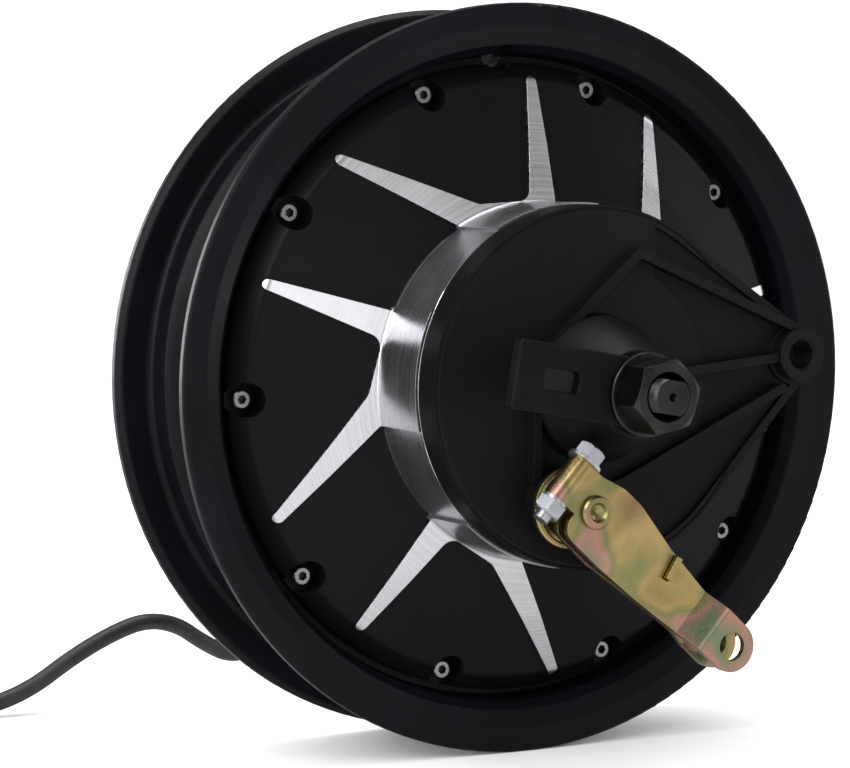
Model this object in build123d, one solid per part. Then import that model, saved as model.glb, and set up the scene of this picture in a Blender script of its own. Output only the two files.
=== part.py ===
from build123d import *
import math
import os

os.makedirs("parts", exist_ok=True)

# Hub motor wheel for a small scooter: a 10 inch rim with the motor inside it and a
# drum brake on one side. Millimetres. The origin is the middle of the rim, the axle
# lies along Y with the brake side towards -Y, and +Z is up. Angles are in degrees,
# counter-clockwise as seen from the brake side, from +X. Outlines of turned pieces
# are (radius, y) points; flat outlines are (x, z) points. A third value rounds a corner.

# Rim
FLANGE_RADIUS = 141.0
FLANGE_THICKNESS = 6.65
TYRE_WIDTH = 54.6
BEAD_RADIUS = 126.8
HUMP_HEIGHT = 0.6
HUMP_Y = 15.0
WELL_RADIUS = 114.6
WELL_HALF_WIDTH = 4.0
SLOPE_TOP_RADIUS = 125.6
SLOPE_TOP_Y = 13.2
BARREL_BORE = 110.0
BOWL_RADIUS = 121.8
BOWL_DRAFT = 0.8
LIP_RADIUS = 132.0
LIP_DEPTH = 3.0
LIP_SLOPE = 6.5
SEAT_Y = 16.0
RIM_HALF_WIDTH = TYRE_WIDTH / 2 + FLANGE_THICKNESS

# Valve hole beside the front cover, parallel to the axle
VALVE_ANGLE = 93.0
VALVE_CIRCLE = 121.6
VALVE_HOLE_RADIUS = 4.0
VALVE_NUT_RADIUS = 6.0

# Cover screws, M4 socket heads
SCREW_COUNT = 10
SCREW_CIRCLE = 113.3
FIRST_SCREW_ANGLE = 2.0
SCREW_RADIUS = 2.0
SCREW_LENGTH = 12.0
SCREW_HEAD_RADIUS = 3.5
SCREW_HEAD_HEIGHT = 4.0
SCREW_SOCKET = 3.0
SCREW_SOCKET_DEPTH = 2.2
SCREW_HOLE_CLEARANCE = 0.25
THREAD_CLEARANCE = 0.03
POCKET_RADIUS = 6.2

# Covers
COVER_RADIUS = 118.8
COVER_FLANGE = 3.5
COVER_EDGE_HEIGHT = 6.0
SHOULDER_RADIUS = 112.5
SHOULDER_Y = 29.0
DOME_MID_RADIUS = 90.0
DOME_MID_Y = 35.0
SPIGOT_DEPTH = 1.7
SPIGOT_WALL = 4.5
SPIGOT_CLEARANCE = 0.05
DOME_WALL = 6.0

# Brake drum, part of the front cover
DRUM_RADIUS = 66.0
DRUM_BASE_Y = -40.0
DRUM_LIP_Y = -70.6
DRUM_FOOT_RADIUS = 1.2
LINER_OUTER_RADIUS = 60.0
LINER_INNER_RADIUS = 55.0
LINER_REAR_Y = -41.0
LINER_FRONT_Y = -69.6

# Raised spokes of the front cover, in five pairs
SPOKE_PAIRS = 5
FIRST_SPOKE_ANGLE = 16.3
SPOKE_LIFT = 1.1
SPOKE_TIP_RADIUS = 114.0
SPOKE_ROOT_HALF_WIDTH = 6.0
SPOKE_TIP_HALF_WIDTH = 2.0
SWEPT_ROOT_ANGLE = 23.7
SWEPT_TIP_ANGLE = 44.8
SPOKE_CROTCH_RADIUS = 5.0
SPOKE_PAD_START = -5.8
SPOKE_PAD_MARGIN = 0.3
SPOKE_PAD_END = 32.0

# Axle
AXLE_FRONT_Y = -135.0
AXLE_REAR_Y = 100.0
THREAD_RADIUS = 8.0
THREAD_PITCH = 1.5
THREAD_DEPTH = 0.8
THREAD_LENGTH = 15.0
JOURNAL_RADIUS = 10.0
AXLE_BODY_RADIUS = 12.5
AXLE_SHOULDER_Y = 30.0
JOURNAL_FRONT_Y = -73.5
JOURNAL_REAR_Y = 57.5
AXLE_FLATS = 12.0
FLATS_FRONT_Y = -111.8
FLATS_REAR_Y = 60.0
AXLE_BORE_RADIUS = 4.0
AXLE_BORE_END_Y = 21.5
AXLE_FIT = 0.05
CENTRE_HOLE_RADIUS = 1.6

# Bearings, 20 x 47 x 14
BEARING_OUTER_RADIUS = 23.5
BEARING_WIDTH = 14.0
BALL_CIRCLE = 16.75
BALL_RADIUS = 3.9
BALL_COUNT = 8
RACE_GAP = 5.2
GROOVE_CLEARANCE = 0.2
PRESS_CLEARANCE = 0.02

# Oil seals and the spacers they run on
SEAL_OUTER_RADIUS = 20.0
SEAL_WIDTH = 5.8
SEAL_LIP_CLEARANCE = 0.1
HOUSING_RADIUS = 29.0
HOUSING_END_Y = 51.0
SPACER_FRONT_Y = -74.0
SPACER_REAR_Y = 58.0

# Stator
STACK_LENGTH = 27.0
STATOR_RADIUS = 102.2
STACK_BORE = 76.0
YOKE_THICKNESS = 6.5
TOOTH_COUNT = 36
TOOTH_WIDTH = 6.5
TOOTH_TIP_HEIGHT = 2.2
SLOT_OPENING = 3.0
COIL_CLEARANCE = 0.4
COIL_WALL = 3.0
COIL_END = 7.5
COIL_BOTTOM_GAP = 1.0
CARRIER_HUB_RADIUS = 22.0
CARRIER_HUB_FRONT_Y = -28.0
CARRIER_HUB_REAR_Y = 21.0
CARRIER_WEB = 8.0
CARRIER_RING = 6.0
CARRIER_HOLES = 6
CARRIER_HOLE_RADIUS = 15.0
CARRIER_HOLE_CIRCLE = 46.0
KEY_WIDTH = 6.0
KEY_HEIGHT = 5.0
KEY_LENGTH = 30.0

# Rotor
AIR_GAP = 0.8
MAGNET_THICKNESS = 3.0
MAGNET_COUNT = 40
MAGNET_GAP = 2.0
MAGNET_LENGTH = 27.5
FLUX_RING_LENGTH = 28.4
MAGNET_INNER_RADIUS = STATOR_RADIUS + AIR_GAP
FLUX_RING_BORE = MAGNET_INNER_RADIUS + MAGNET_THICKNESS

# Hall sensor board and leads
BOARD_INNER_RADIUS = 82.0
BOARD_OUTER_RADIUS = 97.0
BOARD_ANGLE = 48.0
BOARD_THICKNESS = 1.6
BOARD_CLEARANCE = 0.2
BOARD_CENTRE_ANGLE = 60.0
SENSOR_COUNT = 3
SENSOR_SIZE = 4.0
SENSOR_HEIGHT = 1.0
LEAD_COUNT = 3
LEAD_RADIUS = 1.2
LEAD_SPREAD = 14.0

# Brake plate
PLATE_RADIUS = 66.4
PLATE_GAP = 0.6
PLATE_FACE_Y = -83.0
PLATE_WALL = 5.0
PLATE_SKIRT_BORE = 61.5
PLATE_EDGE_RADIUS = 2.5
HUB_CONE_RADIUS = 27.0
HUB_CONE_EDGE_Y = -88.0
HUB_NOSE_RADIUS = 15.5
HUB_NOSE_Y = -112.0
HUB_REAR_RADIUS = 15.0
ARM_EYE = (86.5, 9.8)
ARM_EYE_RADIUS = 9.75
ARM_HOLE_RADIUS = 5.25
ARM_EYE_FRONT_Y = -88.5
ARM_REAR_Y = -75.0
RIB_WIDTH = 3.4
RIB_HEIGHT = 4.0
RIB_APEX = (16.4, 48.8)
RIB_CORNER = (-26.3, 11.4)
RIB_FOOT = (-26.3, -32.0)
RIB_EYE_TOP = (87.0, 19.0)
RIB_LOW_START = (9.5, -34.4)
RIB_LOW_END = (79.0, -2.6)
RIB_MID_START = (24.0, 4.0)
RECESS_DEPTH = 1.8
RECESS_RADIUS = 47.0
RECESS_BORDER = 3.2

# Brake shoes, anchor pin and cam on a line through the axle
BRAKE_ANGLE = 70.0
ANCHOR_DISTANCE = 43.0
ANCHOR_RADIUS = 7.0
ANCHOR_CLEARANCE = 0.08
ANCHOR_SPIGOT_RADIUS = 5.5
ANCHOR_REAR_Y = -47.0
CAM_DISTANCE = 44.5
CAM_HALF_THICKNESS = 4.0
CAM_RADIUS = 5.0
CAM_PAD_CLEARANCE = 0.2
CAM_REAR_Y = -47.0
CAM_FRONT_Y = -61.0
CAM_SHAFT_RADIUS = 6.0
CAM_SHAFT_CLEARANCE = 0.06
CAM_SHAFT_END_Y = -110.6
CAM_BOSS_RADIUS = 14.0
CAM_BOSS_Y = -88.0
CAM_INNER_BOSS_RADIUS = 10.5
CAM_INNER_BOSS_Y = -69.0
SHOE_CLEARANCE = 1.1
LINING_THICKNESS = 4.0
LINING_HALF_ANGLE = 52.0
LINING_WIDTH = 23.0
SHOE_TABLE = 3.0
SHOE_TABLE_HALF_ANGLE = 60.0
SHOE_WEB_INNER_RADIUS = 36.0
SHOE_WEB_TIP_RADIUS = 49.0
SHOE_WEB = 6.0
SHOE_CENTRE_Y = -54.5
SHOE_SPLIT = 1.2
LINING_RADIUS = LINER_INNER_RADIUS - SHOE_CLEARANCE

# Shoe return springs
SPRING_RADIUS = 2.0
SPRING_WIRE = 0.5
SPRING_PITCH = 2.6
SPRING_LENGTH = 31.2
SPRING_HOOK_REACH = 24.5
SPRING_HOLE_RADIUS = 2.0
SPRING_Y = -61.0
SPRING_OFFSETS = (33.2, -33.0)

# Felt cap and seal of the cam shaft
CAP_RADIUS = 14.75
CAP_REAR_Y = -89.2
CAP_RIM_HEIGHT = 3.6
FELT_RADIUS = 11.0
FELT_HEIGHT = 2.4

# Brake lever: one strip folded round the pinch bolt, with two leaves on the cam shaft
LEVER_ANGLE = -42.4
LEVER_LENGTH = 76.9
SHEET = 2.5
LEVER_CAM_HALF_WIDTH = 13.8
LEVER_TIP_HALF_WIDTH = 9.4
LEVER_HOLE_RADIUS = 5.25
LEVER_HEAD_START = -6.4
LEAF_START = -12.5
FRONT_LEAF_Y = -108.5
JOINED_FACE_Y = -101.5
FRONT_EAR_Y = -110.0
REAR_EAR_Y = -95.7
LEAF_BEND_START = 13.0
LEAF_BEND_END = 36.0
EAR_BEND_START = 57.5
EAR_BEND_END = 66.5
FOLD_U = -13.4
FOLD_Y = -103.9
FOLD_RADIUS = 5.0
FOLD_LOW_V = -6.0
FOLD_HIGH_V = 11.0
TAB_U = 40.5
TAB_V = 6.5
TAB_WIDTH = 2.4
TAB_LENGTH = 9.0
TAB_PROUD = 2.6
TAB_LEAN = -10.0
TAB_CLEARANCE = 0.35

# Pinch bolt, M6 with a flanged hexagon head
BOLT_RADIUS = 3.0
BOLT_CLEARANCE = 0.15
BOLT_FLANGE_RADIUS = 6.6
BOLT_FLANGE = 1.4
BOLT_HEX = 10.0
BOLT_HEAD = 5.2
BOLT_TIP_V = -15.0
LOCK_WASHER = 1.3
LOCK_WASHER_RADIUS = 5.2
PINCH_NUT = 5.0

# Reaction bracket, washers and axle nuts
BRACKET_ANGLE = 170.1
BRACKET_REACH = 53.0
BRACKET_BACK = 13.0
BRACKET_HEIGHT = 24.5
BRACKET_THICKNESS = 5.0
BRACKET_SLOT_CENTRE = 34.7
BRACKET_SLOT_LENGTH = 14.6
BRACKET_SLOT_WIDTH = 7.6
WASHER_RADIUS = 15.0
WASHER_THICKNESS = 2.2
NUT_HEX = 24.0
NUT_HEIGHT = 13.0
NUT_ANGLE = 12.0
REAR_WASHER_THICKNESS = 3.0

# Motor lead: leaves the hollow axle, comes down behind the wheel, and lies on the floor
CORD_RADIUS = 3.4
GLAND_LENGTH = 26.0
GLAND_RADIUS = 6.8
GLAND_FLANGE = 3.0
CORD_ROUTE = [
    (0.0, 126.0, 0.0), (0.0, 144.0, 0.0), (-0.5, 159.0, -10.0), (-1.0, 168.0, -26.0),
    (-1.5, 172.0, -45.0), (-1.0, 172.0, -67.0), (-3.0, 168.0, -88.0), (-10.0, 160.0, -107.0),
    (-24.0, 150.0, -122.5), (-43.0, 141.0, -126.5), (-60.0, 134.5, -118.0), (-73.0, 131.0, -109.0),
    (-88.0, 129.5, -106.0), (-104.0, 129.0, -111.0), (-121.0, 129.0, -119.5), (-138.0, 129.0, -130.5),
    (-156.0, 129.5, -136.5), (-172.0, 130.5, -137.1), (-186.0, 131.0, -136.6),
]
TAIL_ROUTE = [
    (-224.0, 169.0, -122.8), (-224.0, 188.0, -123.6), (-223.4, 206.0, -128.0), (-222.8, 222.0, -132.6),
    (-222.4, 238.0, -132.6),
]
COIL_CENTRE = (-186.0, 169.0)
COIL_RADIUS = 38.0
COIL_LAYERS = 3
COIL_LAYER_STEP = 6.9
COIL_REST_Z = -136.6
TIE_WIDTH = 4.0
TIE_THICKNESS = 0.8
TIE_CLEARANCE = 0.15
TIE_ANGLE = -135.0
PLUG_RADIUS = 7.5
PLUG_LENGTH = 34.0
PLUG_BOOT = 9.0
COLLAR_RADIUS = 8.3
COLLAR_LENGTH = 14.0
COLLAR_RIBS = 16


def outline(*corners):
    """Closed flat face; a corner's third value is its rounding radius."""
    radii = [corner[2] if len(corner) > 2 else 0 for corner in corners]
    return make_face(FilletPolyline(*[corner[:2] for corner in corners], radius=radii, close=True))


def turned(*corners):
    """Solid turned about the wheel axis from (radius, y) corners."""
    return revolve(outline(*corners), Axis.Y)


def slab(face, y_from, y_to):
    """Flat (x, z) face made into a slab between two y planes."""
    return extrude(Plane.XZ.offset(-max(y_from, y_to)) * face, amount=abs(y_to - y_from))


def peg(radius, y_from, y_to, centre=(0, 0)):
    """Round bar along the wheel axis direction."""
    return slab(Pos(*centre) * Circle(radius), y_from, y_to)


def turn(shape, angle):
    """Turn a solid about the wheel axis, counter-clockwise from the brake side."""
    return Rot(0, -angle, 0) * shape


def ring_of(shape, count, first_angle=0):
    """Separate copies spaced evenly round the wheel axis."""
    return [turn(shape, first_angle + 360 / count * index) for index in range(count)]


def polar(radius, angle):
    """(x, z) point at a radius and an angle."""
    return radius * math.cos(math.radians(angle)), radius * math.sin(math.radians(angle))


def mirrored(shape):
    """The same piece for the other side of the wheel."""
    return mirror(shape, Plane.XZ)


def hexagon(across_flats):
    """Hexagon face of a nut or bolt head."""
    return RegularPolygon(across_flats / 2, 6, major_radius=False)


def save(name, *solids):
    """Write one node; several solids are kept separate in it."""
    shape = solids[0] if len(solids) == 1 else Compound(children=list(solids))
    export_step(shape, f"parts/{name}.step")


# ---------------------------------------------------------------- wheel

def rim_half():
    """Corners of the rim section from the well to the barrel bore, on the +y side."""
    flange_inside = TYRE_WIDTH / 2
    return [
        (WELL_RADIUS, WELL_HALF_WIDTH, 3.0),
        (SLOPE_TOP_RADIUS, SLOPE_TOP_Y, 2.0),
        (BEAD_RADIUS + HUMP_HEIGHT, HUMP_Y, 1.2),
        (BEAD_RADIUS - HUMP_HEIGHT, HUMP_Y + 2.2, 1.2),
        (BEAD_RADIUS + HUMP_HEIGHT, flange_inside, 3.0),
        (FLANGE_RADIUS - 2.2, flange_inside + 0.5, 1.6),
        (FLANGE_RADIUS, flange_inside + 2.8, 1.6),
        (FLANGE_RADIUS, RIM_HALF_WIDTH, 1.4),
        (LIP_RADIUS, RIM_HALF_WIDTH, 1.0),
        (LIP_RADIUS - LIP_SLOPE, RIM_HALF_WIDTH - LIP_DEPTH, 1.5),
        (BOWL_RADIUS + BOWL_DRAFT, RIM_HALF_WIDTH - 2.6 * LIP_DEPTH, 2.0),
        (BOWL_RADIUS, SEAT_Y, 0.8),
        (BARREL_BORE, SEAT_Y),
    ]


def valve_drill(radius):
    """Drill from the brake side through the wall between the bowl and the well."""
    return peg(radius, -RIM_HALF_WIDTH - 5, -WELL_HALF_WIDTH, polar(VALVE_CIRCLE, VALVE_ANGLE))


def screw_spot(y_from, y_to, radius):
    """Bars at the screw places on the brake side."""
    bar = peg(radius, y_from, y_to, (SCREW_CIRCLE, 0))
    return ring_of(bar, SCREW_COUNT, FIRST_SCREW_ANGLE)


def make_rim():
    half = rim_half()
    other = [(corner[0], -corner[1], *corner[2:]) for corner in reversed(half)]
    rim = turned(*half, *other)
    hole_depth = SCREW_LENGTH - COVER_FLANGE + 0.4
    holes = screw_spot(-SEAT_Y, -SEAT_Y + hole_depth, SCREW_RADIUS + THREAD_CLEARANCE)
    rim -= holes
    rim -= [mirrored(hole) for hole in holes]
    return rim - valve_drill(VALVE_HOLE_RADIUS)


def dome_outline(lift):
    """Outer corners of the front cover's section, from its edge to the drum's lip."""
    return [
        (COVER_RADIUS + min(lift, 0), -SEAT_Y - COVER_EDGE_HEIGHT - lift, 2.0),
        (SHOULDER_RADIUS, -SHOULDER_Y - lift, 5.0),
        (DOME_MID_RADIUS, -DOME_MID_Y - lift, 40.0),
        (DRUM_RADIUS + lift, DRUM_BASE_Y - lift, DRUM_FOOT_RADIUS),
    ]


def beside(start, end, distance, side):
    """Point at a distance along a tapered spoke: its edge for side 1 or -1, its middle for 0."""
    length = math.dist(start, end) - SPOKE_TIP_HALF_WIDTH
    along = ((end[0] - start[0]), (end[1] - start[1]))
    unit = (along[0] / math.hypot(*along), along[1] / math.hypot(*along))
    narrowing = (SPOKE_ROOT_HALF_WIDTH - SPOKE_TIP_HALF_WIDTH) * distance / length
    half = side * (SPOKE_ROOT_HALF_WIDTH - narrowing)
    return start[0] + unit[0] * distance - unit[1] * half, start[1] + unit[1] * distance + unit[0] * half


def prong(start, end):
    """Tapered spoke face with a round tip."""
    length = math.dist(start, end) - SPOKE_TIP_HALF_WIDTH
    taper = outline(
        beside(start, end, 0, -1), beside(start, end, length, -1),
        beside(start, end, length, 1), beside(start, end, 0, 1),
    )
    return taper + Pos(*beside(start, end, length, 0)) * Circle(SPOKE_TIP_HALF_WIDTH)


def spoke_pair():
    """Face of one pair: a radial prong and a swept one that share a root on the drum."""
    pad_radius = DRUM_RADIUS + SPOKE_LIFT
    radial = (DRUM_RADIUS - 6, 0), (SPOKE_TIP_RADIUS, 0)
    swept = polar(DRUM_RADIUS - 4, SWEPT_ROOT_ANGLE - 2.4), polar(SPOKE_TIP_RADIUS, SWEPT_TIP_ANGLE)
    ray = 2 * pad_radius
    wedge = outline((0, 0), polar(ray, SPOKE_PAD_START), polar(ray, SPOKE_PAD_END))
    pad = (Circle(pad_radius + SPOKE_PAD_MARGIN) - Circle(DRUM_RADIUS - 4)) & wedge
    between = outline(radial[0], beside(*radial, 30, 0), beside(*swept, 30, 0), swept[0])
    between -= outline(
        (*beside(*radial, 7.2, 1), SPOKE_CROTCH_RADIUS), beside(*radial, 45, 1),
        beside(*swept, 45, -1), (*beside(*swept, 6.5, -1), SPOKE_CROTCH_RADIUS),
    )
    return prong(*radial) + prong(*swept) + between + pad


def spokes():
    """The raised spokes, following the dome and the outside of the drum."""
    shell = turned(
        (COVER_RADIUS - 2, -SEAT_Y - 2), *dome_outline(SPOKE_LIFT),
        (DRUM_RADIUS + SPOKE_LIFT, DRUM_LIP_Y + 0.5), (DRUM_RADIUS - 2, DRUM_LIP_Y + 0.5),
        (DRUM_RADIUS - 2, DRUM_BASE_Y + 2), (SHOULDER_RADIUS - 4, -SHOULDER_Y + 3),
    )
    pair = turn(shell, 180) & slab(spoke_pair(), -SEAT_Y, DRUM_LIP_Y)
    return ring_of(pair, SPOKE_PAIRS, FIRST_SPOKE_ANGLE)


def make_front_cover():
    bore = BARREL_BORE - SPIGOT_CLEARANCE
    spigot_y = -SEAT_Y + SPIGOT_DEPTH
    bearing_front = -AXLE_SHOULDER_Y - BEARING_WIDTH
    cover = turned(
        (bore, -SEAT_Y), (COVER_RADIUS, -SEAT_Y), *dome_outline(0),
        (DRUM_RADIUS, DRUM_LIP_Y, 0.8), (LINER_OUTER_RADIUS, DRUM_LIP_Y, 0.8),
        (LINER_OUTER_RADIUS, LINER_REAR_Y), (LINER_INNER_RADIUS + 1, LINER_REAR_Y),
        (LINER_INNER_RADIUS + 1, DRUM_BASE_Y), (HOUSING_RADIUS, DRUM_BASE_Y, 1.5),
        (HOUSING_RADIUS, -HOUSING_END_Y, 1.0), (SEAL_OUTER_RADIUS, -HOUSING_END_Y, 0.5),
        (SEAL_OUTER_RADIUS, bearing_front), (BEARING_OUTER_RADIUS, bearing_front),
        (BEARING_OUTER_RADIUS, -AXLE_SHOULDER_Y + 1, 0.5), (HOUSING_RADIUS, -AXLE_SHOULDER_Y + 1, 0.5),
        (HOUSING_RADIUS, DRUM_BASE_Y + DOME_WALL, 1.5), (DRUM_RADIUS, DRUM_BASE_Y + DOME_WALL, 6.0),
        (BARREL_BORE - 12, -26.0, 4.0), (bore - SPIGOT_WALL, -22.0, 2.0),
        (bore - SPIGOT_WALL, spigot_y), (bore, spigot_y),
    )
    cover += spokes()
    cover -= screw_spot(-SEAT_Y, -SHOULDER_Y, SCREW_RADIUS + SCREW_HOLE_CLEARANCE)
    cover -= screw_spot(-SEAT_Y - COVER_FLANGE, -SHOULDER_Y - 6, POCKET_RADIUS)
    return cover - valve_drill(VALVE_NUT_RADIUS)


def make_rear_cover():
    bore = BARREL_BORE - SPIGOT_CLEARANCE
    spigot_y = SEAT_Y - SPIGOT_DEPTH
    bearing_rear = AXLE_SHOULDER_Y + BEARING_WIDTH
    cover = turned(
        (bore, spigot_y), (bore, SEAT_Y), (COVER_RADIUS, SEAT_Y),
        (COVER_RADIUS, SEAT_Y + COVER_EDGE_HEIGHT, 2.0), (SHOULDER_RADIUS, SHOULDER_Y, 5.0),
        (DOME_MID_RADIUS, SHOULDER_Y + 2.6), (DOME_MID_RADIUS - 3, SHOULDER_Y + 4.6),
        (DRUM_RADIUS - 10, SHOULDER_Y + 6.8), (DRUM_RADIUS - 12, SHOULDER_Y + 9.2),
        (HOUSING_RADIUS + 5, SHOULDER_Y + 10.4, 6.0),
        (HOUSING_RADIUS, HOUSING_END_Y, 1.5), (SEAL_OUTER_RADIUS, HOUSING_END_Y, 0.5),
        (SEAL_OUTER_RADIUS, bearing_rear), (BEARING_OUTER_RADIUS, bearing_rear),
        (BEARING_OUTER_RADIUS, AXLE_SHOULDER_Y - 1, 0.5), (HOUSING_RADIUS, AXLE_SHOULDER_Y - 1, 0.5),
        (HOUSING_RADIUS, SHOULDER_Y + 2.6, 1.5), (BARREL_BORE - 12, 26.0, 4.0),
        (bore - SPIGOT_WALL, 22.0, 2.0), (bore - SPIGOT_WALL, spigot_y),
    )
    holes = screw_spot(-SEAT_Y, -SHOULDER_Y, SCREW_RADIUS + SCREW_HOLE_CLEARANCE)
    pockets = screw_spot(-SEAT_Y - COVER_FLANGE, -SHOULDER_Y - 6, POCKET_RADIUS)
    cover -= [mirrored(hole) for hole in holes]
    return cover - [mirrored(pocket) for pocket in pockets]


def cover_screw():
    """One socket head screw on the brake side, at angle zero."""
    seat = -SEAT_Y - COVER_FLANGE
    top = seat - SCREW_HEAD_HEIGHT
    screw = peg(SCREW_RADIUS, seat, seat + SCREW_LENGTH)
    head = peg(SCREW_HEAD_RADIUS, seat, top)
    head = chamfer(head.edges().group_by(Axis.Y)[0], 0.5)
    screw = screw + head - slab(hexagon(SCREW_SOCKET), top, top + SCREW_SOCKET_DEPTH)
    return Pos(SCREW_CIRCLE, 0, 0) * screw


def make_drum_liner():
    return turned(
        (LINER_INNER_RADIUS, LINER_FRONT_Y, 0.6), (LINER_OUTER_RADIUS - PRESS_CLEARANCE, LINER_FRONT_Y),
        (LINER_OUTER_RADIUS - PRESS_CLEARANCE, LINER_REAR_Y), (LINER_INNER_RADIUS, LINER_REAR_Y, 0.6),
    )


def make_gasket():
    """Sealing ring in the corner between the spigot and the barrel bore, brake side."""
    inner = BARREL_BORE - SPIGOT_CLEARANCE - SPIGOT_WALL
    y_inner = -SEAT_Y + SPIGOT_DEPTH + 0.05
    return turned(
        (inner + 0.6, y_inner), (BARREL_BORE - 0.05, y_inner),
        (BARREL_BORE - 0.05, y_inner + 0.5), (inner + 0.6, y_inner + 0.5),
    )


def ring_section(inner, outer, length):
    """Plain ring centred on the rim's middle plane."""
    return peg(outer, -length / 2, length / 2) - peg(inner, -length, length)


def make_flux_ring():
    return ring_section(FLUX_RING_BORE, BARREL_BORE - PRESS_CLEARANCE, FLUX_RING_LENGTH - 1.0)


def make_magnets():
    pitch = 2 * math.pi * MAGNET_INNER_RADIUS / MAGNET_COUNT
    arc = ring_section(MAGNET_INNER_RADIUS, FLUX_RING_BORE - PRESS_CLEARANCE, MAGNET_LENGTH - 1.0)
    window = Pos(MAGNET_INNER_RADIUS, 0, 0) * Box(20, MAGNET_LENGTH, pitch - MAGNET_GAP)
    return ring_of(arc & window, MAGNET_COUNT)


# ---------------------------------------------------------------- bearings and seals

def bearing_race(inner, outer):
    """One race of the brake side bearing, with its ball groove."""
    centre_y = -AXLE_SHOULDER_Y - BEARING_WIDTH / 2
    race = peg(outer, centre_y - BEARING_WIDTH / 2, centre_y + BEARING_WIDTH / 2)
    race -= peg(inner, centre_y - BEARING_WIDTH, centre_y + BEARING_WIDTH)
    groove = Pos(BALL_CIRCLE, centre_y) * Circle(BALL_RADIUS + GROOVE_CLEARANCE)
    return race - revolve(groove, Axis.Y)


def make_inner_race():
    return bearing_race(JOURNAL_RADIUS + PRESS_CLEARANCE, BALL_CIRCLE - RACE_GAP / 2)


def make_outer_race():
    return bearing_race(BALL_CIRCLE + RACE_GAP / 2, BEARING_OUTER_RADIUS - PRESS_CLEARANCE)


def make_balls():
    ball = Pos(BALL_CIRCLE, -AXLE_SHOULDER_Y - BEARING_WIDTH / 2, 0) * Sphere(BALL_RADIUS)
    return ring_of(ball, BALL_COUNT)


def make_oil_seal():
    """Lip seal outside the bearing on the brake side."""
    rear = -AXLE_SHOULDER_Y - BEARING_WIDTH - 0.6
    lip = AXLE_BODY_RADIUS + SEAL_LIP_CLEARANCE
    outer = SEAL_OUTER_RADIUS - PRESS_CLEARANCE
    return turned(
        (outer, rear), (outer, rear - SEAL_WIDTH, 0.5), (lip + 1.5, rear - SEAL_WIDTH),
        (lip, rear - SEAL_WIDTH + 1.5), (lip, rear - 3.0), (lip + 2.0, rear - 1.5), (lip + 3.0, rear),
    )


def make_spacer(y_from, y_to):
    """Sleeve on the axle that the oil seal runs on."""
    return peg(AXLE_BODY_RADIUS, y_from, y_to) - peg(JOURNAL_RADIUS + PRESS_CLEARANCE, y_from - 1, y_to + 1)


# ---------------------------------------------------------------- axle and stator

def axle_flat_cutters(y_from, y_to):
    """Blocks outside the two flats, parallel to the reaction bracket."""
    block = outline((-20, AXLE_FLATS / 2), (20, AXLE_FLATS / 2), (20, 20), (-20, 20))
    face = Rot(0, 0, BRACKET_ANGLE) * (block + Rot(0, 0, 180) * block)
    return slab(face, y_from, y_to)


def thread_corners():
    """Ridges of the brake side thread, out to its chamfered end."""
    turns = int(THREAD_LENGTH / THREAD_PITCH)
    start = AXLE_FRONT_Y + 1.2
    corners = [(0, AXLE_FRONT_Y), (THREAD_RADIUS - 1.6, AXLE_FRONT_Y)]
    for index in range(turns):
        ridge_y = start + index * THREAD_PITCH
        corners.append((THREAD_RADIUS - THREAD_DEPTH, ridge_y))
        corners.append((THREAD_RADIUS, ridge_y + THREAD_PITCH / 2))
    corners.append((THREAD_RADIUS - THREAD_DEPTH, start + turns * THREAD_PITCH))
    corners.append((THREAD_RADIUS, start + (turns + 0.5) * THREAD_PITCH))
    return corners


def make_axle():
    axle = turned(
        *thread_corners(), (THREAD_RADIUS, JOURNAL_FRONT_Y), (JOURNAL_RADIUS, JOURNAL_FRONT_Y),
        (JOURNAL_RADIUS, -AXLE_SHOULDER_Y), (AXLE_BODY_RADIUS, -AXLE_SHOULDER_Y),
        (AXLE_BODY_RADIUS, AXLE_SHOULDER_Y), (JOURNAL_RADIUS, AXLE_SHOULDER_Y),
        (JOURNAL_RADIUS, JOURNAL_REAR_Y), (THREAD_RADIUS, JOURNAL_REAR_Y),
        (THREAD_RADIUS, AXLE_REAR_Y - 1), (THREAD_RADIUS - 1, AXLE_REAR_Y), (0, AXLE_REAR_Y),
    )
    axle -= axle_flat_cutters(AXLE_FRONT_Y - 1, FLATS_FRONT_Y)
    axle -= axle_flat_cutters(FLATS_REAR_Y, AXLE_REAR_Y + 1)
    axle -= peg(AXLE_BORE_RADIUS, AXLE_BORE_END_Y, AXLE_REAR_Y + 1)
    exit_y = AXLE_BORE_END_Y + AXLE_BORE_RADIUS - 0.5
    side_hole = Pos(AXLE_BODY_RADIUS, exit_y, 0) * Rot(0, 90, 0) * Cylinder(AXLE_BORE_RADIUS - 1, 2 * AXLE_BODY_RADIUS)
    axle -= turn(side_hole, BOARD_CENTRE_ANGLE)
    axle -= turned((0, AXLE_FRONT_Y), (CENTRE_HOLE_RADIUS, AXLE_FRONT_Y), (0, AXLE_FRONT_Y + 3))
    return axle - key_block(PRESS_CLEARANCE)


def key_block(margin=0.0):
    """Key between the axle and the stator carrier."""
    height = KEY_HEIGHT + 2 * margin
    centre = Pos(AXLE_BODY_RADIUS, (CARRIER_HUB_FRONT_Y + CARRIER_HUB_REAR_Y) / 2, 0)
    return turn(centre * Box(height, KEY_LENGTH + 2 * margin, KEY_WIDTH + 2 * margin), -90)


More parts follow.
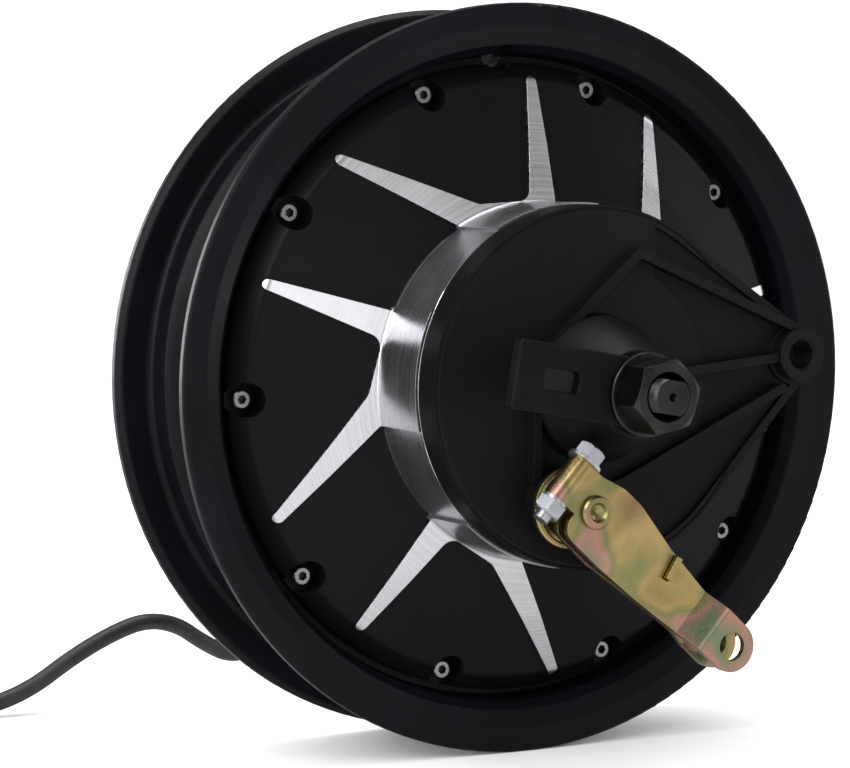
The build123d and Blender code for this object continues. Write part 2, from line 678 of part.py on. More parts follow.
def make_carrier():
    inner = AXLE_BODY_RADIUS + PRESS_CLEARANCE
    outer = STACK_BORE - PRESS_CLEARANCE
    carrier = peg(CARRIER_HUB_RADIUS, CARRIER_HUB_FRONT_Y, CARRIER_HUB_REAR_Y)
    carrier += ring_section(CARRIER_HUB_RADIUS - 1, outer, CARRIER_WEB)
    carrier += ring_section(outer - CARRIER_RING, outer, STACK_LENGTH)
    carrier -= peg(inner, CARRIER_HUB_FRONT_Y - 1, CARRIER_HUB_REAR_Y + 1)
    hole = peg(CARRIER_HOLE_RADIUS, -CARRIER_WEB, CARRIER_WEB, (CARRIER_HOLE_CIRCLE, 0))
    carrier -= ring_of(hole, CARRIER_HOLES, 30)
    return carrier - key_block(PRESS_CLEARANCE)


def make_laminations():
    tooth_start = STACK_BORE + YOKE_THICKNESS - 1
    tip_start = STATOR_RADIUS - TOOTH_TIP_HEIGHT
    pitch = 2 * math.pi * STATOR_RADIUS / TOOTH_COUNT
    tooth = Box(tip_start - tooth_start + 1, STACK_LENGTH, TOOTH_WIDTH, align=(Align.MIN, Align.CENTER, Align.CENTER))
    tooth = Pos(tooth_start, 0, 0) * tooth
    window = Pos(STATOR_RADIUS, 0, 0) * Box(20, STACK_LENGTH, pitch - SLOT_OPENING)
    tip = ring_section(tip_start, STATOR_RADIUS, STACK_LENGTH) & window
    stack = ring_section(STACK_BORE, STACK_BORE + YOKE_THICKNESS, STACK_LENGTH)
    return stack + ring_of(tooth + tip, TOOTH_COUNT)


def make_windings():
    """One coil round each tooth."""
    bottom = STACK_BORE + YOKE_THICKNESS + COIL_BOTTOM_GAP
    top = STATOR_RADIUS - TOOTH_TIP_HEIGHT - COIL_CLEARANCE
    inner_width = TOOTH_WIDTH + 2 * COIL_CLEARANCE
    inner_length = STACK_LENGTH + 2 * COIL_CLEARANCE
    outer = RectangleRounded(inner_length + 2 * COIL_END, inner_width + 2 * COIL_WALL, COIL_WALL)
    face = outer - Rectangle(inner_length, inner_width)
    coil = extrude(Plane.YZ.offset(bottom) * face, amount=top - bottom)
    return ring_of(coil, TOOTH_COUNT)


def make_hall_board():
    """Curved circuit board with its sensors, beside the winding ends."""
    start = STACK_LENGTH / 2 + COIL_CLEARANCE + COIL_END + BOARD_CLEARANCE
    ray = 2 * BOARD_OUTER_RADIUS
    wedge = outline((0, 0), polar(ray, -BOARD_ANGLE / 2), polar(ray, BOARD_ANGLE / 2))
    face = (Circle(BOARD_OUTER_RADIUS) - Circle(BOARD_INNER_RADIUS)) & wedge
    board = slab(face, start, start + BOARD_THICKNESS)
    chip = Pos(BOARD_OUTER_RADIUS - SENSOR_SIZE, start + BOARD_THICKNESS, 0)
    chip *= Box(SENSOR_SIZE, SENSOR_HEIGHT, SENSOR_SIZE)
    for index in range(SENSOR_COUNT):
        board += turn(chip, (index - 1) * BOARD_ANGLE / 4)
    return turn(board, BOARD_CENTRE_ANGLE)


def make_winding_leads():
    """Leads from the hole in the axle out to the winding ends."""
    y = AXLE_BORE_END_Y + AXLE_BORE_RADIUS - 0.5
    length = BOARD_INNER_RADIUS - 2 - AXLE_BODY_RADIUS
    lead = Rot(0, 90, 0) * Cylinder(LEAD_RADIUS, length, align=(Align.CENTER, Align.CENTER, Align.MIN))
    lead = Pos(AXLE_BODY_RADIUS + 0.5, y, 0) * lead
    angles = [BOARD_CENTRE_ANGLE + (index - 1) * LEAD_SPREAD for index in range(LEAD_COUNT)]
    return [turn(lead, angle) for angle in angles]


def make_axle_lead():
    """The motor lead inside the hollow axle."""
    return peg(CORD_RADIUS - 0.1, AXLE_BORE_END_Y + 1, AXLE_REAR_Y)


# ---------------------------------------------------------------- brake

def on_brake_line(shape):
    """Place a piece drawn with the anchor straight up."""
    return turn(shape, BRAKE_ANGLE - 90)


def tangent_arm(inner_margin):
    """Face of the plate and its torque arm, drawn in from the edge by a margin."""
    plate = PLATE_RADIUS - inner_margin
    eye = ARM_EYE_RADIUS - inner_margin
    reach = math.hypot(*ARM_EYE)
    lean = math.degrees(math.atan2(ARM_EYE[1], ARM_EYE[0]))
    half = math.degrees(math.acos((plate - eye) / reach))
    corners = []
    for side in (1, -1):
        corners.append(polar(plate, lean + side * half))
        offset = polar(eye, lean + side * half)
        corners.append((ARM_EYE[0] + offset[0], ARM_EYE[1] + offset[1]))
    arm = outline(corners[0], corners[1], corners[3], corners[2])
    return arm + Pos(*ARM_EYE) * Circle(eye) + Circle(plate)


def rib_face(start, end):
    """Straight rib between two points, with round ends."""
    length = math.dist(start, end)
    angle = math.degrees(math.atan2(end[1] - start[1], end[0] - start[0]))
    middle = ((start[0] + end[0]) / 2, (start[1] + end[1]) / 2)
    return Pos(*middle) * Rot(0, 0, angle) * SlotCenterToCenter(length, RIB_WIDTH)


def rib_lines():
    cam_centre = polar(CAM_DISTANCE, BRAKE_ANGLE + 180)
    return [
        (RIB_APEX, RIB_CORNER), (RIB_CORNER, RIB_FOOT), (RIB_FOOT, cam_centre),
        (RIB_APEX, RIB_EYE_TOP), (RIB_LOW_START, RIB_LOW_END), (RIB_MID_START, ARM_EYE),
        (cam_centre, RIB_LOW_START),
    ]


def plate_recess():
    """Sunk panels of the torque arm, between its ribs."""
    face = tangent_arm(RECESS_BORDER) - Circle(RECESS_RADIUS)
    face -= Pos(*ARM_EYE) * Circle(ARM_EYE_RADIUS + 1.5)
    face -= outline((-80, -80), (25, -80), (25, 80), (-80, 80))
    for start, end in rib_lines():
        face -= rib_face(start, end)
    return slab(face, PLATE_FACE_Y - 1, PLATE_FACE_Y + RECESS_DEPTH)


def make_brake_plate():
    skirt_y = DRUM_LIP_Y - PLATE_GAP
    inner_face = PLATE_FACE_Y + PLATE_WALL
    bore = THREAD_RADIUS + AXLE_FIT
    plate = turned(
        (PLATE_RADIUS, skirt_y), (PLATE_RADIUS, PLATE_FACE_Y, PLATE_EDGE_RADIUS),
        (HUB_CONE_RADIUS, PLATE_FACE_Y, 1.0), (HUB_CONE_RADIUS - 0.5, HUB_CONE_EDGE_Y, 2.5),
        (HUB_NOSE_RADIUS, HUB_NOSE_Y, 1.0), (bore, HUB_NOSE_Y), (bore, SPACER_FRONT_Y),
        (HUB_REAR_RADIUS, SPACER_FRONT_Y, 1.0), (HUB_REAR_RADIUS, inner_face),
        (PLATE_SKIRT_BORE, inner_face, 2.0), (PLATE_SKIRT_BORE, skirt_y),
    )
    arm = slab(tangent_arm(0), PLATE_FACE_Y + 0.01, ARM_REAR_Y) - peg(PLATE_RADIUS - 1, 0, -100)
    plate += arm
    plate -= plate_recess()
    for start, end in rib_lines():
        rib = slab(rib_face(start, end), PLATE_FACE_Y + 1, PLATE_FACE_Y - RIB_HEIGHT)
        plate += rib - peg(HUB_CONE_RADIUS - 2, 0, -100)
    plate += peg(ARM_EYE_RADIUS, ARM_REAR_Y, ARM_EYE_FRONT_Y, ARM_EYE)
    cam_centre = polar(CAM_DISTANCE, BRAKE_ANGLE + 180)
    anchor_centre = polar(ANCHOR_DISTANCE, BRAKE_ANGLE)
    plate += peg(CAM_BOSS_RADIUS, PLATE_FACE_Y + 1, CAM_BOSS_Y, cam_centre)
    plate += peg(CAM_INNER_BOSS_RADIUS, PLATE_FACE_Y + 1, CAM_INNER_BOSS_Y, cam_centre)
    plate += peg(ANCHOR_RADIUS + 3, PLATE_FACE_Y + 1, inner_face + 4, anchor_centre)
    plate -= peg(CAM_SHAFT_RADIUS + CAM_SHAFT_CLEARANCE, 0, -100, cam_centre)
    plate -= peg(ANCHOR_SPIGOT_RADIUS + PRESS_CLEARANCE, PLATE_FACE_Y + 1.5, 0, anchor_centre)
    plate -= peg(ARM_HOLE_RADIUS, 0, -100, ARM_EYE)
    chamfer_hole = turned(
        (0, ARM_EYE_FRONT_Y), (ARM_HOLE_RADIUS + 0.9, ARM_EYE_FRONT_Y), (0, ARM_EYE_FRONT_Y + ARM_HOLE_RADIUS + 0.9),
    )
    return plate - Pos(ARM_EYE[0], 0, ARM_EYE[1]) * chamfer_hole


def make_anchor_pin():
    """Pin that both shoes hinge on, with its spigot pressed into the plate."""
    shoulder = PLATE_FACE_Y + PLATE_WALL + 4
    pin = peg(ANCHOR_RADIUS, shoulder, ANCHOR_REAR_Y)
    pin = chamfer(pin.edges().group_by(Axis.Y)[-1], 0.8)
    pin += peg(ANCHOR_SPIGOT_RADIUS, shoulder, PLATE_FACE_Y + 2)
    return on_brake_line(Pos(0, 0, ANCHOR_DISTANCE) * pin)


def shoe_sector(inner, outer, half_angle):
    """Arc face on the +x side."""
    ray = 2 * outer
    corners = [(0, 0), polar(ray, -half_angle), (ray * 2, 0), polar(ray, half_angle)]
    return (Circle(outer) - Circle(inner)) & outline(*corners)


def shoe(table_side):
    """Brake shoe on the +x side (1) or the -x side (-1), drawn with the anchor up."""
    table_outer = LINING_RADIUS - LINING_THICKNESS
    table_inner = table_outer - SHOE_TABLE
    table = shoe_sector(table_inner, table_outer, SHOE_TABLE_HALF_ANGLE)
    web = Circle(SHOE_WEB_TIP_RADIUS) - Circle(SHOE_WEB_INNER_RADIUS)
    web &= outline((SHOE_SPLIT / 2, -70), (70, -70), (70, 70), (SHOE_SPLIT / 2, 70))
    web -= Pos(0, ANCHOR_DISTANCE) * Circle(ANCHOR_RADIUS + ANCHOR_CLEARANCE)
    pad = CAM_HALF_THICKNESS + CAM_PAD_CLEARANCE
    web -= outline((-1, -70), (pad, -70), (pad, -CAM_DISTANCE + 9, 2), (-1, -CAM_DISTANCE + 9))
    for offset in SPRING_OFFSETS:
        web -= Pos(SPRING_HOOK_REACH, offset - SPRING_RADIUS) * Circle(SPRING_HOLE_RADIUS)
    half_table = LINING_WIDTH / 2 + 0.5
    solid = slab(table, SHOE_CENTRE_Y - half_table, SHOE_CENTRE_Y + half_table)
    solid += slab(web, SHOE_CENTRE_Y - SHOE_WEB / 2, SHOE_CENTRE_Y + SHOE_WEB / 2)
    return on_brake_line(solid if table_side > 0 else mirror(solid, Plane.YZ))


def lining(table_side):
    """Friction lining bonded to a shoe."""
    inner = LINING_RADIUS - LINING_THICKNESS + PRESS_CLEARANCE
    face = shoe_sector(inner, LINING_RADIUS, LINING_HALF_ANGLE)
    solid = slab(face, SHOE_CENTRE_Y - LINING_WIDTH / 2, SHOE_CENTRE_Y + LINING_WIDTH / 2)
    return on_brake_line(solid if table_side > 0 else mirror(solid, Plane.YZ))


def shoe_spring(offset):
    """Coil spring across both shoes, with a hook down through each web."""
    helix = Helix(SPRING_PITCH, SPRING_LENGTH, SPRING_RADIUS)
    wire = sweep(Plane(origin=helix @ 0, z_dir=helix % 0) * Circle(SPRING_WIRE), path=helix, is_frenet=True)
    coil = Pos(-SPRING_LENGTH / 2, 0, 0) * Rot(0, 90, 0) * wire
    start_z = -SPRING_RADIUS
    hook_length = SHOE_WEB + 2.5
    hooks = []
    for side in (-1, 1):
        run = SPRING_HOOK_REACH - SPRING_LENGTH / 2
        arm = Pos(side * (SPRING_LENGTH + run) / 2, 0, start_z) * Rot(0, 90, 0)
        hooks.append(arm * Cylinder(SPRING_WIRE, run))
        drop = Pos(side * SPRING_HOOK_REACH, hook_length / 2, start_z) * Rot(90, 0, 0)
        hooks.append(drop * Cylinder(SPRING_WIRE, hook_length))
        hooks.append(Pos(side * SPRING_HOOK_REACH, 0, start_z) * Sphere(SPRING_WIRE))
    spring = coil + hooks
    return on_brake_line(Pos(0, SPRING_Y, offset) * spring)


def make_brake_cam():
    """Cam and its shaft, drawn at the cam's centre."""
    block = Circle(CAM_RADIUS) & Rectangle(2 * CAM_HALF_THICKNESS, 4 * CAM_RADIUS)
    cam = slab(block, CAM_REAR_Y, CAM_FRONT_Y)
    shaft = peg(CAM_SHAFT_RADIUS, CAM_FRONT_Y, CAM_SHAFT_END_Y)
    shaft = chamfer(shaft.edges().group_by(Axis.Y)[0], 0.7)
    shaft -= turned(
        (0, CAM_SHAFT_END_Y), (3.6, CAM_SHAFT_END_Y), (2.8, CAM_SHAFT_END_Y + 1.2), (0, CAM_SHAFT_END_Y + 2.6),
    )
    return on_brake_line(Pos(0, 0, -CAM_DISTANCE) * (cam + shaft))


def at_cam(solid):
    """Place a piece drawn round the cam shaft's axis."""
    x, z = polar(CAM_DISTANCE, BRAKE_ANGLE + 180)
    return Pos(x, 0, z) * solid


def make_cam_cap():
    """Stepped sheet cap that holds the felt ring against the plate's boss."""
    hole = CAM_SHAFT_RADIUS + CAM_SHAFT_CLEARANCE
    rim_y = CAP_REAR_Y - CAP_RIM_HEIGHT
    return at_cam(turned(
        (hole, CAP_REAR_Y - 1.4), (hole, CAP_REAR_Y - 2.6), (CAP_RADIUS - 3.2, CAP_REAR_Y - 2.6, 0.6),
        (CAP_RADIUS - 1.8, rim_y, 0.5), (CAP_RADIUS - 0.9, rim_y, 0.3), (CAP_RADIUS - 0.9, rim_y + 1.2),
        (CAP_RADIUS, rim_y + 1.5, 0.3), (CAP_RADIUS, CAP_REAR_Y, 0.3), (CAP_RADIUS - 1.2, CAP_REAR_Y, 0.3),
        (CAP_RADIUS - 2.4, CAP_REAR_Y - 1.4, 0.5),
    ))


def make_cam_felt():
    """Felt ring under the cap."""
    y_front = CAP_REAR_Y - 1.3
    ring = peg(FELT_RADIUS, CAM_BOSS_Y - 0.1, y_front) - peg(CAM_SHAFT_RADIUS + CAM_SHAFT_CLEARANCE, 0, -100)
    return at_cam(ring)


def to_lever(solid):
    """Place a piece drawn in lever axes: u along X to the clevis, v along Z."""
    return at_cam(Rot(0, -LEVER_ANGLE, 0) * solid)


def lever_strip(width):
    """Folded strip seen edge-on, swept across the lever."""
    back_y = FRONT_LEAF_Y + SHEET
    joined_front = JOINED_FACE_Y - SHEET
    front = outline(
        (LEAF_START, FRONT_LEAF_Y), (LEAF_BEND_START, FRONT_LEAF_Y, 12), (LEAF_BEND_END, joined_front, 12),
        (EAR_BEND_START, joined_front, 1.5), (EAR_BEND_END, FRONT_EAR_Y, 4.0), (LEVER_LENGTH + 12, FRONT_EAR_Y),
        (LEVER_LENGTH + 12, FRONT_EAR_Y + SHEET), (EAR_BEND_END + 1.2, FRONT_EAR_Y + SHEET, 1.5),
        (EAR_BEND_START + 1.2, JOINED_FACE_Y, 4.0), (LEAF_BEND_END, JOINED_FACE_Y, 14),
        (LEAF_BEND_START, back_y, 9), (LEAF_START, back_y),
    )
    rear_back = JOINED_FACE_Y + SHEET
    rear = outline(
        (LEAF_START, JOINED_FACE_Y), (EAR_BEND_START, JOINED_FACE_Y, 1.5),
        (EAR_BEND_END, REAR_EAR_Y - SHEET, 4.0), (LEVER_LENGTH + 12, REAR_EAR_Y - SHEET),
        (LEVER_LENGTH + 12, REAR_EAR_Y), (EAR_BEND_END, REAR_EAR_Y, 1.5),
        (EAR_BEND_START, rear_back, 4.0), (LEAF_START, rear_back),
    )
    return extrude(front + rear, amount=width, both=True)


def lever_face():
    """The lever's outline in (u, v): broad at the cam, narrow at the round clevis end."""
    head = LEVER_CAM_HALF_WIDTH
    tip = LEVER_TIP_HALF_WIDTH
    body = outline(
        (LEVER_HEAD_START, -head, 6), (14, -head, 30), (EAR_BEND_START, -tip), (LEVER_LENGTH, -tip),
        (LEVER_LENGTH, tip), (EAR_BEND_START, tip), (14, head, 30), (4, head, 8), (LEVER_HEAD_START, FOLD_HIGH_V),
    )
    neck = outline(
        (LEAF_START, FOLD_LOW_V), (0, FOLD_LOW_V), (0, FOLD_HIGH_V), (LEAF_START, FOLD_HIGH_V),
    )
    return body + neck + Pos(LEVER_LENGTH, 0) * Circle(tip)


def across_lever(radius, v_from, v_to, u=FOLD_U, y=FOLD_Y):
    """Round bar along v."""
    bar = Cylinder(radius, v_to - v_from, align=(Align.CENTER, Align.CENTER, Align.MIN))
    return Pos(u, y, v_from) * bar


def lever_tab(margin, y_rear):
    """Tab of the rear leaf that locks the leaves together, or the slot for it."""
    y_front = JOINED_FACE_Y - SHEET - TAB_PROUD
    block = Box(TAB_WIDTH + 2 * margin, y_rear - y_front, TAB_LENGTH + 2 * margin)
    return Pos(TAB_U, (y_rear + y_front) / 2, TAB_V) * Rot(0, TAB_LEAN, 0) * block


def make_lever():
    arm = lever_strip(20) & slab(lever_face(), -90, -120)
    arm -= lever_tab(TAB_CLEARANCE, JOINED_FACE_Y)
    arm += lever_tab(0, JOINED_FACE_Y + SHEET / 2)
    arm += across_lever(FOLD_RADIUS, FOLD_LOW_V, FOLD_HIGH_V)
    arm -= across_lever(BOLT_RADIUS + BOLT_CLEARANCE, -40, 40)
    arm -= peg(CAM_SHAFT_RADIUS + PRESS_CLEARANCE, -90, -120)
    arm -= peg(LEVER_HOLE_RADIUS, -90, -120, (LEVER_LENGTH, 0))
    return to_lever(arm)


def hex_prism_v(across_flats, v_from, v_to):
    """Hexagon block along v on the bolt's axis, with chamfered corners."""
    prism = extrude(hexagon(across_flats), amount=v_to - v_from)
    cone_radius = across_flats / math.sqrt(3)
    height = v_to - v_from
    round_off = revolve(
        Plane.XZ * outline((0, 0), (cone_radius, 0), (cone_radius, height - 1.0), (cone_radius - 1.4, height), (0, height)),
        Axis.Z,
    )
    return Pos(FOLD_U, FOLD_Y, v_from) * (prism & round_off)


def make_pinch_bolt():
    head_v = FOLD_HIGH_V + BOLT_FLANGE
    bolt = across_lever(BOLT_RADIUS, BOLT_TIP_V, FOLD_HIGH_V)
    bolt += across_lever(BOLT_FLANGE_RADIUS, FOLD_HIGH_V, head_v)
    bolt += hex_prism_v(BOLT_HEX, head_v, head_v + BOLT_HEAD)
    return to_lever(bolt)


def make_lock_washer():
    ring = across_lever(LOCK_WASHER_RADIUS, FOLD_LOW_V - LOCK_WASHER, FOLD_LOW_V)
    ring -= across_lever(BOLT_RADIUS + BOLT_CLEARANCE, -40, 40)
    gap = Pos(FOLD_U - 5, FOLD_Y, FOLD_LOW_V) * Rot(20, 0, 0) * Box(8, 1.0, 8)
    return to_lever(ring - gap)


def make_pinch_nut():
    top = FOLD_LOW_V - LOCK_WASHER
    nut = mirror(hex_prism_v(BOLT_HEX, -top, -top + PINCH_NUT), Plane.XY)
    return to_lever(nut - across_lever(BOLT_RADIUS + THREAD_CLEARANCE, -40, 40))


# ---------------------------------------------------------------- bracket, nuts and washers

def make_bracket():
    """Flat bracket keyed on the axle's flats, with a slot near its free end."""
    half = BRACKET_HEIGHT / 2
    face = outline(
        (-BRACKET_BACK, -half, 5), (BRACKET_REACH, -half, 1.2), (BRACKET_REACH, half, 1.2), (-BRACKET_BACK, half, 5),
    )
    hole = Circle(THREAD_RADIUS + AXLE_FIT) & Rectangle(40, AXLE_FLATS + 2 * AXLE_FIT)
    face -= hole
    face -= Pos(BRACKET_SLOT_CENTRE, 0) * RectangleRounded(BRACKET_SLOT_LENGTH, BRACKET_SLOT_WIDTH, 1.5)
    plate = slab(Rot(0, 0, BRACKET_ANGLE) * face, HUB_NOSE_Y, HUB_NOSE_Y - BRACKET_THICKNESS)
    return chamfer(plate.edges().filter_by(GeomType.LINE).group_by(Axis.Y)[0], 0.5)


def make_washer(y_from, thickness):
    washer = peg(WASHER_RADIUS, y_from, y_from - thickness)
    washer = chamfer(washer.edges().group_by(Axis.Y)[0], 0.4)
    return washer - peg(THREAD_RADIUS + 2 * AXLE_FIT, y_from + 1, y_from - thickness - 1)


def make_nut(y_from, turn_angle):
    """Axle nut on the brake side, chamfered on both faces."""
    corner = NUT_HEX / math.sqrt(3)
    prism = slab(Rot(0, 0, turn_angle) * hexagon(NUT_HEX), y_from, y_from - NUT_HEIGHT)
    envelope = turned(
        (0, y_from), (corner - 1.6, y_from), (corner, y_from - 1.0), (corner, y_from - NUT_HEIGHT + 1.2),
        (corner - 2.0, y_from - NUT_HEIGHT), (0, y_from - NUT_HEIGHT),
    )
    nut = prism & envelope
    nut -= peg(THREAD_RADIUS + THREAD_CLEARANCE, y_from + 1, y_from - NUT_HEIGHT - 1)
    end_y = y_from - NUT_HEIGHT
    countersink = turned(
        (0, end_y), (THREAD_RADIUS + 0.9, end_y), (THREAD_RADIUS - 1, end_y + 1.9), (0, end_y + 1.9),
    )
    return nut - countersink


# ---------------------------------------------------------------- motor lead

def arc_radii(route):
    """Radius at each inner corner: 0.45 of the shorter run over the tangent of half the turn."""
    points = [Vector(*point) for point in route]
    radii = []
    for before, corner, after in zip(points, points[1:], points[2:]):
        turn_angle = (corner - before).get_angle(after - corner)
        shorter = min((corner - before).length, (after - corner).length)
        radii.append(0.45 * shorter / math.tan(math.radians(turn_angle / 2)))
    return radii


def cord_tube(name, route):
    """Tube of straight runs and tangent arcs; prints its radii, length and volume."""
    radii = arc_radii(route)
    path = FilletPolyline(*route, radius=radii)
    start = Plane(origin=path @ 0, z_dir=path % 0)
    tube = sweep(start * Circle(CORD_RADIUS), path=path)
    expected = math.pi * CORD_RADIUS ** 2 * path.length
    print(name, "radii", [round(radius) for radius in radii])
    print(name, "length", round(path.length), "volume ratio", round(tube.volume / expected, 4))
    return tube


def make_gland():
    """Tapered rubber strain relief on the axle's end."""
    end = AXLE_REAR_Y + GLAND_LENGTH
    return turned(
        (0, AXLE_REAR_Y), (GLAND_RADIUS, AXLE_REAR_Y, 0.6), (GLAND_RADIUS, AXLE_REAR_Y + GLAND_FLANGE, 0.6),
        (GLAND_RADIUS - 1.2, AXLE_REAR_Y + GLAND_FLANGE + 0.6), (CORD_RADIUS + 0.7, end, 0.3), (0, end),
    )


def make_coil():
    """Outer shape of the two stacked turns."""
    low = COIL_REST_Z - CORD_RADIUS
    high = low + (COIL_LAYERS - 1) * COIL_LAYER_STEP + 2 * CORD_RADIUS
    ring = Cylinder(COIL_RADIUS + CORD_RADIUS, high - low) - Cylinder(COIL_RADIUS - CORD_RADIUS, 2 * (high - low))
    ring = fillet(ring.edges().filter_by(GeomType.CIRCLE), 2.5)
    return Pos(*COIL_CENTRE, (low + high) / 2) * ring


def make_tie():
    """Flat tie round the turns."""
    height = (COIL_LAYERS - 1) * COIL_LAYER_STEP + 2 * CORD_RADIUS
    inner = (2 * (CORD_RADIUS + TIE_CLEARANCE), height + 2 * TIE_CLEARANCE)
    band = RectangleRounded(inner[0] + 2 * TIE_THICKNESS, inner[1] + 2 * TIE_THICKNESS, 2.0)
    band -= RectangleRounded(*inner, 1.0)
    solid = extrude(Plane.XZ * band, amount=TIE_WIDTH / 2, both=True)
    head = Pos(inner[0] / 2 + TIE_THICKNESS + 0.8, 0, 0) * Box(2.4, TIE_WIDTH + 1.6, 5.0)
    solid += head
    x, y = polar(COIL_RADIUS, TIE_ANGLE)
    z = COIL_REST_Z + (COIL_LAYERS - 1) * COIL_LAYER_STEP / 2
    return Pos(COIL_CENTRE[0] + x, COIL_CENTRE[1] + y, z) * Rot(0, 0, TIE_ANGLE) * solid


def plug_frame():
    """Frame at the tail's end, Z along the plug."""
    before, end = TAIL_ROUTE[-2:]
    return Plane(origin=end, z_dir=Vector(*end) - Vector(*before))


def make_plug():
    """Round connector with a tapered boot; it lies on the floor."""
    body = outline(
        (0, 0), (CORD_RADIUS + 1, 0), (PLUG_RADIUS - 1, PLUG_BOOT), (PLUG_RADIUS, PLUG_BOOT + 1.5),
        (PLUG_RADIUS, PLUG_LENGTH, 0.8), (PLUG_RADIUS - 1.6, PLUG_LENGTH), (PLUG_RADIUS - 1.6, PLUG_LENGTH - 5),
        (0, PLUG_LENGTH - 5),
    )
    return plug_frame() * revolve(Plane.XZ * body, Axis.Z)


def make_plug_collar():
    """Ribbed locking collar round the connector."""
    start = PLUG_LENGTH - COLLAR_LENGTH - 2
    ring = Circle(COLLAR_RADIUS)
    for index in range(COLLAR_RIBS):
        ring -= Pos(*polar(COLLAR_RADIUS, 360 / COLLAR_RIBS * index)) * Circle(0.6)
    ring -= Circle(PLUG_RADIUS + PRESS_CLEARANCE)
    return plug_frame() * Pos(0, 0, start) * extrude(ring, amount=COLLAR_LENGTH)


# ---------------------------------------------------------------- nodes on the wheel

front_screws = ring_of(cover_screw(), SCREW_COUNT, FIRST_SCREW_ANGLE)
save("rim", make_rim())
save("flux_ring", make_flux_ring())
save("magnets", *make_magnets())
save("front_cover", make_front_cover())
save("rear_cover", make_rear_cover())
save("front_gasket", make_gasket())
save("rear_gasket", mirrored(make_gasket()))
save("front_cover_screws", *front_screws)
save("rear_cover_screws", *[mirrored(screw) for screw in front_screws])
save("brake_drum_liner", make_drum_liner())
save("bearing_front_outer", make_outer_race())
save("bearing_rear_outer", mirrored(make_outer_race()))
save("shaft_seal_front", make_oil_seal())
save("shaft_seal_rear", mirrored(make_oil_seal()))

# ---------------------------------------------------------------- nodes on the axle

save("axle", make_axle())
save("axle_key", key_block())
save("stator_carrier", make_carrier())
save("stator_laminations", make_laminations())
save("stator_windings", *make_windings())
save("hall_sensor_board", make_hall_board())
save("winding_leads", *make_winding_leads())
save("axle_lead", make_axle_lead())
save("bearing_front_inner", make_inner_race())
save("bearing_rear_inner", mirrored(make_inner_race()))
save("bearing_front_balls", *make_balls())
save("bearing_rear_balls", *[mirrored(ball) for ball in make_balls()])
save("axle_spacer_front", make_spacer(SPACER_FRONT_Y, -AXLE_SHOULDER_Y - BEARING_WIDTH))
save("axle_spacer_rear", make_spacer(AXLE_SHOULDER_Y + BEARING_WIDTH, SPACER_REAR_Y))
save("torque_bracket", make_bracket())
save("axle_washer_front", make_washer(HUB_NOSE_Y - BRACKET_THICKNESS, WASHER_THICKNESS))
save("axle_nut_front", make_nut(HUB_NOSE_Y - BRACKET_THICKNESS - WASHER_THICKNESS, NUT_ANGLE))
save("axle_washer_rear", mirrored(make_washer(-SPACER_REAR_Y, REAR_WASHER_THICKNESS)))
save("axle_nut_rear", mirrored(make_nut(-SPACER_REAR_Y - REAR_WASHER_THICKNESS, 0)))

# ---------------------------------------------------------------- nodes of the brake

save("brake_plate", make_brake_plate())
save("anchor_pin", make_anchor_pin())
save("leading_shoe", shoe(-1))
save("leading_lining", lining(-1))
save("trailing_shoe", shoe(1))
save("trailing_lining", lining(1))
save("shoe_springs", *[shoe_spring(offset) for offset in SPRING_OFFSETS])
save("brake_cam", make_brake_cam())
save("cam_cap", make_cam_cap())
save("cam_felt", make_cam_felt())
save("brake_lever", make_lever())
save("lever_pinch_bolt", make_pinch_bolt())
save("lever_lock_washer", make_lock_washer())
save("lever_pinch_nut", make_pinch_nut())

# ---------------------------------------------------------------- nodes of the motor lead

save("cable_gland", make_gland())
save("cable_lead", cord_tube("cable_lead", CORD_ROUTE))
save("cable_coil", make_coil())
save("cable_tail", cord_tube("cable_tail", TAIL_ROUTE))
save("cable_tie", make_tie())
save("cable_plug", make_plug())
save("plug_collar", make_plug_collar())
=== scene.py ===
import math

import bpy
from mathutils import Matrix, Vector


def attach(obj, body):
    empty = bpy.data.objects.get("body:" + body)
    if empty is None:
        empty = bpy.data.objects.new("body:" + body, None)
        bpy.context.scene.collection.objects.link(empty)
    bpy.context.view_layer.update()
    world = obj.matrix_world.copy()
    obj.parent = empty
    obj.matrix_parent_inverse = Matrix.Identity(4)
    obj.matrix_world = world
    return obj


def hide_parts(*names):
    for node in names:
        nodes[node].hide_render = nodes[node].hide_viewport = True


# Looks of the hub motor wheel. Metres, in the frame of the CAD model: the axle lies
# along Y with the brake side towards -Y, and +Z is up. Sizes ending in * MM and the
# tables that say so are in millimetres.

MM = 0.001

# Camera: a long lens from the brake side, a little above the axle
CAMERA_DISTANCE = 1.1948
CAMERA_AZIMUTH = -29.01
CAMERA_HEIGHT_ANGLE = 3.92
CAMERA_TURN_LEFT = 1.10
CAMERA_TURN_DOWN = 0.176
CAMERA_LENS = 131.3
CAMERA_SENSOR = 36.0

# Pale floor and white room; paint and bare metal mirror dimmer ones, so they keep their depth
FLOOR_Z = -0.141
FLOOR_SIZE = 14.0
FLOOR_PALE = (0.90, 0.90, 0.91)
FLOOR_PALER = (0.93, 0.93, 0.93)
ROOM_STRENGTH = 1.25
MIRRORED_ROOM = 0.34
MIRRORED_FLOOR = (0.48, 0.48, 0.48)

# Soft lights aimed at the wheel: place, (width, height) and watts
LIGHTS = {
    "key": ((-1.5, -0.9, 1.3), (1.1, 1.3), 22.0),
    "front": ((-0.1, -2.2, 0.35), (1.3, 0.9), 4.5),
    "left": ((-1.9, -0.2, 0.35), (0.9, 1.4), 14.0),
    "fill_right": ((1.7, -0.6, 0.5), (0.8, 1.2), 5.0),
    "top": ((0.0, 0.2, 1.8), (1.6, 0.9), 24.0),
    "back_left": ((-1.2, 1.8, 0.35), (1.4, 1.0), 36.0),
}

